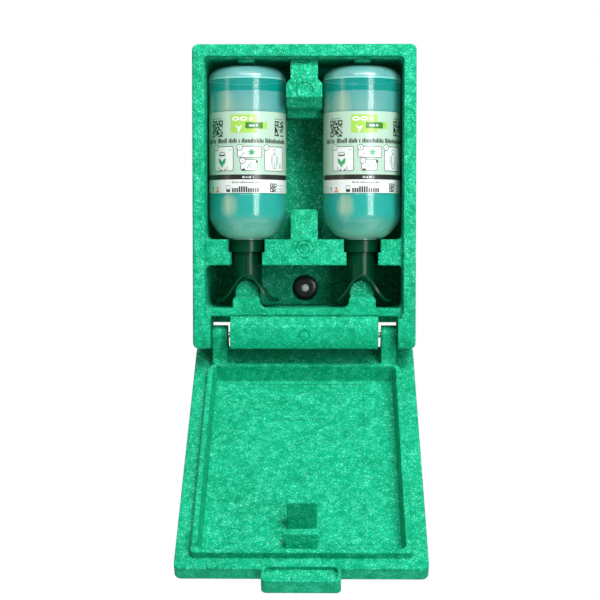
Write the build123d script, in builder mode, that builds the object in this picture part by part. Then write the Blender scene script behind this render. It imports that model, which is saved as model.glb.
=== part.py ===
"""Wall-mounted eyewash station: a moulded foam case with a drop-down lid, which holds two one-litre
bottles upside down, each closed by a double eyecup.

Frame: +Z up, the wall is the plane Y = 0 and the case stands out of it towards -Y.
The origin is on the wall, midway between the two wall screws. All sizes are millimetres.
"""

import math
import os

from build123d import *

# ---------------------------------------------------------------- driving dimensions
# wall screws
screw_height = 65.0  # lower screw above the foot of the case
upper_screw_drop = 45.0  # upper screw below the top of the case
screw_r = 2.25  # thread, in the wall
screw_shank_r = 2.0  # inside the case
screw_head_r = 4.4
screw_head_high = 3.0
screw_in_wall = 30.0
screw_hole_fit = 0.45
washer_r = 14.6
washer_thick = 4.0
washer_seat_deep = 1.5
washer_fit = 0.3
keyhole_web = 5.0  # foam between the wall and the upper screw's head
keyhole_deep = 12.0
keyhole_drop = 16.0
keyhole_fit = 1.2
keyhole_play = 0.1  # between the web and the upper screw's head

# bottles
bottle_r = 44.3
bottle_wall = 1.2
bottle_proud = 0.3  # the bottle stands this far out of the front rim
base_extra = 0.3  # the base is this much larger in radius, down to its seam
base_high = 15.0
base_round = 22.0  # width of the base's rounding, which is as high as the base
groove_wide = 15.0
groove_deep = 1.5
shoulder_high = 28.2
foot_ledge = 4.7  # flat ring round the neck, where the shoulder meets it
neck_r = 17.3
neck_wall = 1.6
label_drop = 52.9  # label's top below the bottle's base
label_lift = 23.0  # label's foot above the shoulder
label_thick = 0.25
label_sink = 0.3  # the label panel is this much smaller in radius
label_gap = 30.0  # degrees left bare at the back
liquid_drop = 29.5  # level below the bottle's base
liquid_gap = 0.25
plug_long = 6.0
plug_fit = 0.1
jet_r = 2.0
jet_apart = 13.0

# case
case_high = 340.0
side_wall = 13.7  # beside the mouth
inner_side_wall = 14.4  # beside the bays
back_wall = 15.0
mouth_top_wall = 13.5
inner_top_wall = 15.6
case_corner = 7.0
mouth_deep = 8.0
mouth_corner = 5.0
inner_corner = 6.0
floor_low = 36.5  # underside of the chamber's floor
floor_high = 45.3
shelf_low = 93.9
shelf_high = 122.8
edge_soft = 2.5  # rounding of the moulded outer edges
back_skirt = 24.0  # the back wall ends this far above the foot, over the hinge gaps
bay_fit = 0.6  # between a bottle's base and the side of its bay
bay_back_room = 8.4  # behind a bottle
bottle_room = 5.9  # over a bottle
bottle_seat_gap = 0.8  # between the shelf and a bottle's shoulder

# block between the bottles at the top, tab between them on the shelf
block_front = 2.0  # behind the front rim
block_flare = 20.2
block_gap = 0.9  # between the flared part and a bottle
block_step = 5.0  # the upper part is this much narrower, each side
block_drop = 53.4  # foot of the block below the top of the bays
block_shoulder_high = 25.5
block_slope_drop = 19.4
block_slope_deep = 6.0
block_chamfer_high = 12.0
block_chamfer_deep = 22.0
block_step_front = 50.0
block_step_drop = 9.0
tab_high = 33.8
tab_round = 4.0

# bump and post under each eyecup, rib over each bottle
bump_half = 15.0
bump_high = 12.7
bump_deep = 20.0
post_half = 13.5
post_high = 30.7
post_start = 32.0
post_end = 66.0
bump_flank_r = 8.0
top_rib_half = 9.0
top_rib_gap = 2.7
top_rib_start = 14.0

# hinge
hinge_in = 28.5  # hinge axis behind the front rim
hinge_up = 14.0  # hinge axis above the foot
pin_r = 3.0
pin_fit = 0.08  # radial clearance of the arm on its pin
pin_seat_fit = 0.03
pin_bite = 6.5  # length of pin held in the leg and in the block
leg_wide = 19.7
hollow_side_wall = 12.0  # the legs are thinner behind the hinge block
arm_leg_gap = 1.0
arm_wide = 17.0
arm_block_gap = 4.1
hinge_block_deep = 50.0
hinge_slope_drop = 12.0
hinge_slope_deep = 9.5
arm_wall = 8.0  # round the pin
arm_low = 3.0  # the arm's two edges on the lid's plate
arm_high = 38.0
arm_web = 33.5
rail_relief = 2.5
lid_open = 125.0  # opening angle, from closed to the stop

# lid
lid_thick = 16.0
lid_gap = 0.4  # between the closed lid and the front rim
rail_tip_gap = 1.0  # between the rail and the floor of the mouth
rail_wide = 5.8
rail_fit = 2.3  # clearance of the rail at the sides of the case's mouth
rail_end_fit = 1.0  # and at its ends
rail_corner = 13.0  # at the hinge end
rail_free_corner = 4.0
tray_deep = 13.0
tray_draft = 8.0  # degrees
tray_corner = 6.0
panel_side = 27.0  # panel's edges inside the plate's
panel_low = 48.0
panel_top = 25.0
panel_out = 12.0
panel_draft = 25.0  # degrees
panel_corner = 14.0
grip_half = 39.0
grip_reach = 16.5
grip_corner = 5.0
grip_rim = 3.5
grip_step = 4.0
grip_inset = 3.0  # the recess starts this far inside the plate's edge
stop_half = 15.0  # tall block on the tray's floor, under the block between the bottles
stop_gap = 1.0
stop_thick = 10.0
stop_foot = 5.0  # both are this much thicker at the foot
stop_reach = 19.0  # above the plate's inner face
bar_half = 16.5  # low bar in front of that block
bar_lift = 17.5
bar_thick = 8.0
sign_side = 140.0
sign_thick = 0.4

# eyecup
collar_wall = 2.6
collar_high = 14.0
collar_below_shelf = 0.4
collar_floor = 1.6
collar_fit = 0.7  # clearance of the collar in the shelf's slot
thread_fit = 0.3  # clearance of the bottle's neck in the collar
ledge_fit = 0.3  # between the collar and the ledge it hangs on
cup_neck_r = 16.6
cup_neck_wall = 3.0
neck_fit = 1.4  # clearance of the eyecup's neck in the shelf's slot
wing_half = 36.0
wing_low = 54.5
wing_rise = 29.0
wing_reach = 31.0  # from the crest to where the wing is level
wing_thick = 2.4
wing_deep = 48.0  # front to back
rim_thick = 3.0
rim_wide = 1.6
rib_wide = 1.6
rib_out = 1.2
rib_drop = 5.4
seal_thick = 1.3
seal_wide = 4.0
seal_fit = 0.2

# moulding marks
ring_wide = 1.4
ring_deep = 1.0
ring_lift = 3.2  # the marks are off the middle of their faces
block_ring_r = 10.0
shelf_ring_r = 10.5
shelf_inner_ring_r = 6.0
hinge_ring_r = 6.5
line_wide = 0.9
line_deep = 0.5
frame_half = 66.0  # lines on the tray's floor
frame_low = 52.0
frame_high = 132.0
bracket_half = 25.0
bracket_low = 111.0
bracket_tick = 6.0
tray_ring_r = 13.0
tray_ring_up = 78.0
corner_ring_r = 11.0
corner_ring_x = 70.0
corner_ring_drop = 55.0

# ---------------------------------------------------------------- places worked out from them
base_r = bottle_r + base_extra
bottle_x = block_flare + block_gap + bottle_r
inner_wide = 2 * (bottle_x + base_r + bay_fit)
case_wide = inner_wide + 2 * inner_side_wall
mouth_wide = case_wide - 2 * side_wall
bottle_in = bottle_r - bottle_proud
cavity_deep = bottle_in + base_r + bay_back_room
case_deep = cavity_deep + back_wall

screw_span = case_high - screw_height - upper_screw_drop
upper_screw = screw_height + screw_span
screw_hole_r = screw_r + screw_hole_fit
foot_z = -screw_span / 2 - screw_height
front_y = -case_deep
bottle_y = front_y + bottle_in
mouth_top = case_high - mouth_top_wall
inner_top = case_high - inner_top_wall

bottle_top = inner_top - bottle_room
bottle_seam = bottle_top - base_high
bottle_foot = shelf_high + bottle_seat_gap
shoulder_top = bottle_foot + shoulder_high
foot_r = neck_r + foot_ledge
label_low = shoulder_top + label_lift
label_high = bottle_top - label_drop
label_r = bottle_r - label_sink
liquid_high = bottle_top - liquid_drop

block_half = block_flare - block_step
block_foot = inner_top - block_drop
block_shoulder = block_foot + block_shoulder_high

collar_r = neck_r + thread_fit + collar_wall
collar_top = shelf_high - collar_below_shelf
collar_low = collar_top - collar_high
bore_floor = collar_low + collar_floor
neck_mouth = bore_floor + seal_thick + seal_fit

leg_inner = case_wide / 2 - leg_wide
hollow_half = case_wide / 2 - hollow_side_wall
arm_outer = leg_inner - arm_leg_gap
arm_inner = arm_outer - arm_wide
hinge_block_half = arm_inner - arm_block_gap
arm_round = pin_r + arm_wall
pin_y = front_y + hinge_in
pin_z = foot_z + hinge_up

rail_high = mouth_deep - rail_tip_gap
rail_start = floor_low + rail_end_fit
rail_end = mouth_top - rail_end_fit
panel_half = case_wide / 2 - panel_side
panel_high = case_high - panel_top
stop_low = block_foot - stop_gap - stop_thick
bar_low = block_foot + bar_lift

front = Plane.XZ.offset(case_deep)
sides = ((-1, "left"), (1, "right"))

# the lid stands open: its inner face is swung down about the hinge axis
tip = math.radians(lid_open)
outward = Vector(0, -math.cos(tip), -math.sin(tip))
along = Vector(0, -math.sin(tip), math.cos(tip))
pin_off = hinge_in + lid_gap  # hinge axis to the lid's inner face
lid_origin = Vector(0, pin_y, pin_z) + outward * pin_off - along * hinge_up
lid_face = Plane(origin=lid_origin, x_dir=(1, 0, 0), z_dir=outward)
lid_side = Plane(origin=lid_origin, x_dir=along, z_dir=(1, 0, 0))

foam_green = (0.05, 0.66, 0.48)
cup_green = (0.01, 0.16, 0.09)
frosted = (0.75, 0.9, 0.9)
steel = (0.8, 0.8, 0.8)


def up(height):
    """Z of a height above the foot of the case."""
    return foot_z + height


def front_rectangle(low_x, high_x, low, high):
    """A rectangle on a front-view plane, from its limits across and above the foot."""
    with BuildSketch() as area:
        with Locations(((low_x + high_x) / 2, up((low + high) / 2))):
            Rectangle(high_x - low_x, high - low)
    return area.sketch


def finish(piece, name, colour):
    """Labels a finished piece and writes it to its own file."""
    piece.part.label = name
    piece.part.color = Color(*colour)
    export_step(piece.part, f"parts/{name}.step")


os.makedirs("parts", exist_ok=True)

# ---------------------------------------------------------------- case
with BuildPart() as case:
    # outer block
    with BuildSketch(Plane.XZ):
        add(front_rectangle(-case_wide / 2, case_wide / 2, 0, case_high))
        fillet(vertices(), case_corner)
    extrude(amount=case_deep)
    fillet(faces().sort_by(Axis.Y)[0].outer_wire().edges(), edge_soft)

    # mouth, bottle bays and eyecup chamber, each cut in from the front
    for half, low, high, corner, deep in (
        (mouth_wide / 2, floor_low, mouth_top, mouth_corner, mouth_deep),
        (inner_wide / 2, shelf_high, inner_top, inner_corner, cavity_deep),
        (inner_wide / 2, floor_high, shelf_low, inner_corner, cavity_deep),
    ):
        with BuildSketch(front):
            add(front_rectangle(-half, half, low, high))
            fillet(vertices(), corner)
        extrude(amount=-deep, mode=Mode.SUBTRACT)

    # room under the floor: a gap for each hinge arm, and the hollow behind the hinge block
    with BuildSketch(front):
        for side, _ in sides:
            edges_x = sorted((side * hinge_block_half, side * leg_inner))
            add(front_rectangle(*edges_x, -edge_soft, floor_low))
    extrude(amount=-cavity_deep, mode=Mode.SUBTRACT)
    with BuildSketch(front.offset(-hinge_block_deep)):
        add(front_rectangle(-hollow_half, hollow_half, -edge_soft, floor_low))
    extrude(amount=hinge_block_deep - cavity_deep, mode=Mode.SUBTRACT)
    with BuildSketch(front.offset(-cavity_deep)):
        add(front_rectangle(-hollow_half, hollow_half, -edge_soft, back_skirt))
    extrude(amount=-back_wall, mode=Mode.SUBTRACT)

    # relief in each leg for the corner of the lid's rail as it swings out
    with BuildSketch(front):
        for side, _ in sides:
            edges_x = sorted((side * (leg_inner - 1), side * (mouth_wide / 2 - rail_fit)))
            add(front_rectangle(*edges_x, floor_low - rail_relief, floor_high))
    extrude(amount=-mouth_deep, mode=Mode.SUBTRACT)

    # sloped top edge of the hinge block
    with BuildSketch(Plane.YZ.offset(-hinge_block_half)):
        with BuildLine():
            slope = hinge_slope_drop / hinge_slope_deep
            Polyline(
                (front_y - 1, up(floor_low - hinge_slope_drop - slope)),
                (front_y + hinge_slope_deep, up(floor_low)),
                (front_y + hinge_slope_deep, up(floor_low + 1)),
                (front_y - 1, up(floor_low + 1)),
                close=True,
            )
        make_face()
    extrude(amount=2 * hinge_block_half, mode=Mode.SUBTRACT)

    # lower front edges rounded about the hinge axis, so that the lid clears them as it turns
    with BuildSketch(Plane.YZ.offset(-case_wide)):
        with Locations((pin_y, pin_z)):
            Rectangle(2 * hinge_in, 2 * hinge_in, align=(Align.MAX, Align.MAX))
            Circle(hinge_in, mode=Mode.SUBTRACT)
    extrude(amount=2 * case_wide, mode=Mode.SUBTRACT)

    # slots that hold each eyecup's collar and neck, open to the front
    for radius, low, high in (
        (collar_r + collar_fit, collar_low - ledge_fit, shelf_high + 1),
        (cup_neck_r + neck_fit, shelf_low - 1, collar_low),
    ):
        with BuildSketch(Plane.XY.offset(up(low))):
            with Locations((-bottle_x, bottle_y), (bottle_x, bottle_y)):
                Circle(radius)
                Rectangle(2 * radius, bottle_in + 1, align=(Align.CENTER, Align.MAX))
        extrude(amount=high - low, mode=Mode.SUBTRACT)

    # block between the bottles at the top, wider at its foot
    with BuildSketch(front.offset(-block_front)):
        with BuildLine():
            Polyline(
                (-block_half, up(inner_top + 1)),
                (block_half, up(inner_top + 1)),
                (block_half, up(block_shoulder + block_step)),
                (block_flare, up(block_shoulder)),
                (block_flare, up(block_foot)),
                (-block_flare, up(block_foot)),
                (-block_flare, up(block_shoulder)),
                (-block_half, up(block_shoulder + block_step)),
                close=True,
            )
        make_face()
    extrude(amount=block_front - cavity_deep - 1)
    with BuildSketch(Plane.YZ.offset(-block_flare - 1)):
        with BuildLine():
            Polyline(
                (front_y - 1, up(block_foot + block_chamfer_high)),
                (front_y + block_chamfer_deep, up(block_foot - 1)),
                (front_y - 1, up(block_foot - 1)),
                close=True,
            )
        make_face()
        with BuildLine():
            Polyline(
                (front_y - 1, up(inner_top - block_slope_drop)),
                (front_y + mouth_deep + block_slope_deep, up(inner_top)),
                (front_y + mouth_deep, up(inner_top)),
                (front_y + mouth_deep, up(mouth_top)),
                (front_y - 1, up(mouth_top)),
                close=True,
            )
        make_face()
    extrude(amount=2 * block_flare + 2, mode=Mode.SUBTRACT)
    with BuildSketch(front.offset(-block_step_front)):
        add(front_rectangle(-block_flare, block_flare, block_foot - block_step_drop, block_foot + 1))
    extrude(amount=block_step_front - cavity_deep - 1)

    # tab that stands up from the shelf between the bottles
    with BuildSketch(front.offset(-mouth_deep)):
        add(front_rectangle(-block_half, block_half, shelf_high - 1, shelf_high + tab_high))
        fillet(vertices().group_by(Axis.Y)[-1], tab_round)
    extrude(amount=mouth_deep - cavity_deep - 1)

    # low bump and taller post under each eyecup's arch, and a rib over each bottle's base
    for side, _ in sides:
        x = side * bottle_x
        with BuildSketch(front.offset(-mouth_deep)):
            add(front_rectangle(x - bump_half, x + bump_half, floor_high - 1, floor_high + bump_high))
            fillet(vertices().group_by(Axis.Y)[-1], tab_round)
        extrude(amount=-bump_deep)
        post_round = floor_high + post_high - post_half
        with BuildSketch(front.offset(-post_start)):
            add(front_rectangle(x - post_half, x + post_half, floor_high - 1, post_round))
            with Locations((x, up(post_round))):
                Circle(post_half)
        extrude(amount=post_start - post_end)
        for half, start, end in (
            (bump_half, mouth_deep, mouth_deep + bump_deep),
            (post_half, post_start, post_end),
        ):
            flank = x - side * half
            inner = flank - side * bump_flank_r
            with BuildSketch(front.offset(-start)):
                across = sorted((flank + side, inner))
                add(front_rectangle(*across, floor_high - 1, floor_high + bump_flank_r))
                with Locations((inner, up(floor_high + bump_flank_r))):
                    Circle(bump_flank_r, mode=Mode.SUBTRACT)
            extrude(amount=start - end)
        with BuildSketch(front.offset(-top_rib_start)):
            add(front_rectangle(x - top_rib_half, x + top_rib_half, bottle_top + top_rib_gap, inner_top + 1))
        extrude(amount=top_rib_start - cavity_deep - 1)

    # seat for the washer and hole for the lower wall screw
    with BuildSketch(front.offset(-cavity_deep)):
        with Locations((0, up(screw_height))):
            Circle(washer_r + 1)
    extrude(amount=-washer_seat_deep, mode=Mode.SUBTRACT)
    with BuildSketch(Plane.XZ):
        with Locations((0, up(screw_height))):
            Circle(screw_hole_r)
    extrude(amount=back_wall, mode=Mode.SUBTRACT)

    # keyhole that hangs on the upper wall screw
    with BuildSketch(Plane.XZ):
        with Locations((0, up(upper_screw - keyhole_drop))):
            Circle(screw_head_r + keyhole_fit)
        with Locations((0, up(upper_screw - keyhole_drop / 2))):
            Rectangle(2 * screw_hole_r, keyhole_drop)
        with Locations((0, up(upper_screw))):
            Circle(screw_hole_r)
    extrude(amount=keyhole_web, mode=Mode.SUBTRACT)
    with BuildSketch(Plane.XZ.offset(keyhole_web)):
        with Locations((0, up(upper_screw - keyhole_drop / 2))):
            SlotCenterToCenter(keyhole_drop, 2 * (screw_head_r + keyhole_fit), rotation=90)
    extrude(amount=keyhole_deep - keyhole_web, mode=Mode.SUBTRACT)

    # seats for the hinge pins
    for side, _ in sides:
        with BuildSketch(Plane.YZ.offset(side * (hinge_block_half - pin_bite))):
            with Locations((pin_y, pin_z)):
                Circle(pin_r + pin_seat_fit)
        extrude(amount=side * (leg_inner - hinge_block_half + 2 * pin_bite), mode=Mode.SUBTRACT)

    # moulding marks: how far behind the rim, how high, radius
    for depth, height, radius in (
        (block_front, (block_foot + inner_top) / 2 - block_slope_drop / 2, block_ring_r),
        (mouth_deep, (shelf_low + shelf_high) / 2 + ring_lift, shelf_ring_r),
        (mouth_deep, (shelf_low + shelf_high) / 2 + ring_lift, shelf_inner_ring_r),
        (0, floor_low / 2 - ring_lift, hinge_ring_r),
    ):
        with BuildSketch(front.offset(-depth)):
            with Locations((0, up(height))):
                Circle(radius)
                Circle(radius - ring_wide, mode=Mode.SUBTRACT)
        extrude(amount=-ring_deep, mode=Mode.SUBTRACT)

finish(case, "case", foam_green)

# ---------------------------------------------------------------- lid
with BuildPart() as lid:
    # plate, with a raised panel outside
    with BuildSketch(lid_face):
        with Locations((0, case_high / 2)):
            RectangleRounded(case_wide, case_high, case_corner)
    extrude(amount=lid_thick)
    fillet(faces().sort_by(Axis(lid_origin, outward))[-1].outer_wire().edges(), edge_soft)
    with BuildSketch(lid_face.offset(lid_thick)):
        with Locations((0, (panel_low + panel_high) / 2)):
            RectangleRounded(2 * panel_half, panel_high - panel_low, panel_corner)
    extrude(amount=panel_out, taper=panel_draft)

    # pull grip at the free end, thinner between its two rims
    with BuildSketch(lid_face):
        with Locations((0, case_high + grip_reach / 2 - grip_corner)):
            RectangleRounded(2 * grip_half, grip_reach + 2 * grip_corner, grip_corner)
    extrude(amount=lid_thick)
    with BuildSketch(lid_face):
        with Locations((0, case_high + (grip_reach - grip_rim - grip_inset) / 2)):
            RectangleRounded(2 * (grip_half - grip_rim), grip_reach - grip_rim + grip_inset, grip_corner)
    extrude(amount=grip_step, mode=Mode.SUBTRACT)

    # rail that fits inside the case's mouth
    rail_half = mouth_wide / 2 - rail_fit
    with BuildSketch(lid_face.offset(1)):
        with Locations((0, (rail_start + rail_end) / 2)):
            Rectangle(2 * rail_half, rail_end - rail_start)
            fillet(vertices().group_by(Axis.Y)[0], rail_corner)
            fillet(vertices().group_by(Axis.Y)[-1], rail_free_corner)
    extrude(amount=-rail_high - 1)

    # tray inside the rail
    with BuildSketch(lid_face.offset(-rail_high)):
        with Locations((0, (rail_start + rail_end) / 2)):
            RectangleRounded(
                2 * (rail_half - rail_wide),
                rail_end - rail_start - 2 * rail_wide,
                tray_corner,
            )
    extrude(amount=rail_high + tray_deep, taper=tray_draft, mode=Mode.SUBTRACT)

    # block and bar on the tray's floor, each thicker at its foot
    for half, low, thick, reach in (
        (stop_half, stop_low, stop_thick, stop_reach),
        (bar_half, bar_low, bar_thick, block_front),
    ):
        with BuildSketch(lid_side.offset(-half)):
            with BuildLine():
                Polyline(
                    (low, tray_deep + 1),
                    (low, -reach),
                    (low + thick, -reach),
                    (low + thick + stop_foot, tray_deep),
                    (low + thick + stop_foot, tray_deep + 1),
                    close=True,
                )
            make_face()
        extrude(amount=2 * half)

    # arms that reach back to the hinge axis
    run_s, run_n = arm_high - hinge_up, pin_off - rail_high
    lean = math.atan2(run_n, run_s) - math.acos(arm_round / math.hypot(run_s, run_n))
    for side, _ in sides:
        with BuildSketch(lid_side.offset(side * arm_inner)):
            with BuildLine():
                Polyline(
                    (arm_low, 1),
                    (arm_high, 1),
                    (arm_high, -rail_high),
                    (arm_web, -rail_high - 1.5),
                    (hinge_up + arm_round * math.cos(lean), -pin_off + arm_round * math.sin(lean)),
                    (hinge_up, -pin_off),
                    (hinge_up - arm_round, -pin_off),
                    close=True,
                )
            make_face()
            with Locations((hinge_up, -pin_off)):
                Circle(arm_round)
                Circle(pin_r + pin_fit, mode=Mode.SUBTRACT)
        extrude(amount=side * (arm_outer - arm_inner))

    # lines moulded into the tray's floor
    with BuildSketch(lid_face.offset(tray_deep)):
        corner_ring_up = case_high - corner_ring_drop
        for radius, x, height in (
            (tray_ring_r, 0, tray_ring_up),
            (corner_ring_r, -corner_ring_x, corner_ring_up),
            (corner_ring_r, corner_ring_x, corner_ring_up),
        ):
            with Locations((x, height)):
                Circle(radius)
                Circle(radius - line_wide, mode=Mode.SUBTRACT)
        with Locations((0, bracket_low)):
            Rectangle(2 * bracket_half, line_wide)
        with Locations((bracket_half, bracket_low + bracket_tick / 2)):
            Rectangle(line_wide, bracket_tick)
        with Locations((0, frame_low)):
            Rectangle(2 * frame_half, line_wide)
        frame_middle = (frame_low + frame_high) / 2
        with Locations((frame_half, frame_middle)):
            Rectangle(line_wide, frame_high - frame_low)
    extrude(amount=line_deep, mode=Mode.SUBTRACT)

finish(lid, "lid", foam_green)

# ---------------------------------------------------------------- sign on the lid's outer face
with BuildPart() as sign:
    with BuildSketch(lid_face.offset(lid_thick + panel_out)):
        with Locations((0, (panel_low + panel_high) / 2)):
            RectangleRounded(sign_side, sign_side, 4)
    extrude(amount=sign_thick)

finish(sign, "lid_sign", frosted)

# ---------------------------------------------------------------- hinge pins
for side, side_name in sides:
    with BuildPart() as pin:
        with BuildSketch(Plane.YZ.offset(side * (hinge_block_half - pin_bite))):
            with Locations((pin_y, pin_z)):
                Circle(pin_r)
        extrude(amount=side * (leg_inner - hinge_block_half + 2 * pin_bite))
        chamfer(edges().filter_by(GeomType.CIRCLE), 0.5)
    finish(pin, f"hinge_pin_{side_name}", steel)

# ---------------------------------------------------------------- wall screws and washer
washer_front = -(back_wall - washer_seat_deep) - washer_thick
for name, height, seat_y in (
    ("wall_screw_lower", screw_height, washer_front),
    ("wall_screw_upper", upper_screw, -keyhole_web - keyhole_play),
):
    with BuildPart() as screw:
        with BuildSketch(Plane.YZ):
            with BuildLine():
                Polyline(
                    (screw_in_wall, up(height)),
                    (screw_in_wall - 2 * screw_r, up(height) + screw_r),
                    (0, up(height) + screw_r),
                    (0, up(height) + screw_shank_r),
                    (seat_y, up(height) + screw_shank_r),
                    (seat_y, up(height) + screw_head_r),
                    (seat_y - 0.25 * screw_head_high, up(height) + screw_head_r),
                )
                TangentArc(
                    (seat_y - screw_head_high, up(height)),
                    (seat_y - 0.25 * screw_head_high, up(height) + screw_head_r),
                    tangent=(0, 1),
                )
                Line((seat_y - screw_head_high, up(height)), (screw_in_wall, up(height)))
            make_face()
        revolve(axis=Axis((0, 0, up(height)), (0, 1, 0)))
    finish(screw, name, steel)

with BuildPart() as washer:
    with BuildSketch(Plane.YZ):
        with BuildLine():
            hole_z = up(screw_height) + screw_shank_r + washer_fit
            rim_z = up(screw_height) + washer_r
            Polyline(
                (washer_front, hole_z),
                (washer_front + washer_thick, hole_z),
                (washer_front + washer_thick, rim_z),
                (washer_front + 0.4 * washer_thick, rim_z),
            )
            TangentArc(
                (washer_front, rim_z - 0.42 * washer_r),
                (washer_front + 0.4 * washer_thick, rim_z),
                tangent=(0, 1),
            )
            Line((washer_front, rim_z - 0.42 * washer_r), (washer_front, hole_z))
        make_face()
    revolve(axis=Axis((0, 0, up(screw_height)), (0, 1, 0)))

finish(washer, "screw_washer", (0.03, 0.03, 0.03))


# ---------------------------------------------------------------- bottles, upside down
def bottle_outline(inset):
    """Half of the bottle's section, across from its axis, inset from the outer surface."""
    base = base_r - inset
    body = bottle_r - inset
    panel = label_r - inset
    top = bottle_top - inset
    bend = base_round - inset
    throat = neck_r - neck_wall - inset + bottle_wall if inset else neck_r
    with BuildSketch() as section:
        with BuildLine():
            Polyline((0, up(neck_mouth)), (0, up(top)), (base - bend, up(top)))
            corner = (base - bend, up(bottle_seam))
            EllipticalCenterArc(corner, bend, top - bottle_seam, start_angle=0, arc_size=90)
            Polyline(
                (base, up(bottle_seam)),
                (body, up(bottle_seam - 0.5)),
                (body, up(label_high + 2)),
                (panel, up(label_high + 1)),
                (panel, up(label_low - 1)),
                (body, up(label_low - 2)),
                (body, up(shoulder_top)),
            )
            Spline(
                (body, up(shoulder_top)),
                (body - 5.2, up(shoulder_top - 14.2) + inset),
                (foot_r, up(bottle_foot) + inset),
                tangents=[(0, -1), (-1, -0.3)],
            )
            Polyline(
                (foot_r, up(bottle_foot) + inset),
                (throat, up(bottle_foot) + inset),
                (throat, up(neck_mouth)),
                (0, up(neck_mouth)),
            )
        make_face()
    return section.sketch


def wing_band(thick):
    """Section of the eyecup's wave-shaped sheet: a band of even thickness about its middle line."""
    heights = []
    for i in range(-10, 11):
        turn = math.pi * i / 10
        x = wing_reach * i / 10
        slope = wing_rise / 2 * math.pi / wing_reach * math.sin(turn)
        middle = up(wing_low - wing_thick / 2) + wing_rise * (1 + math.cos(turn)) / 2
        heights.append((x, middle, thick / 2 * math.hypot(1, slope)))
    with BuildSketch() as band:
        with BuildLine():
            upper = [(x, middle + half) for x, middle, half in heights]
            lower = [(x, middle - half) for x, middle, half in reversed(heights)]
            flat = wing_half - wing_reach
            Spline(*upper)
            Polyline(
                upper[-1],
                (upper[-1][0] + flat, upper[-1][1]),
                (lower[0][0] + flat, lower[0][1]),
                lower[0],
            )
            Spline(*lower)
            Polyline(
                lower[-1],
                (lower[-1][0] - flat, lower[-1][1]),
                (upper[0][0] - flat, upper[0][1]),
                upper[0],
            )
        make_face()
    return band.sketch


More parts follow.
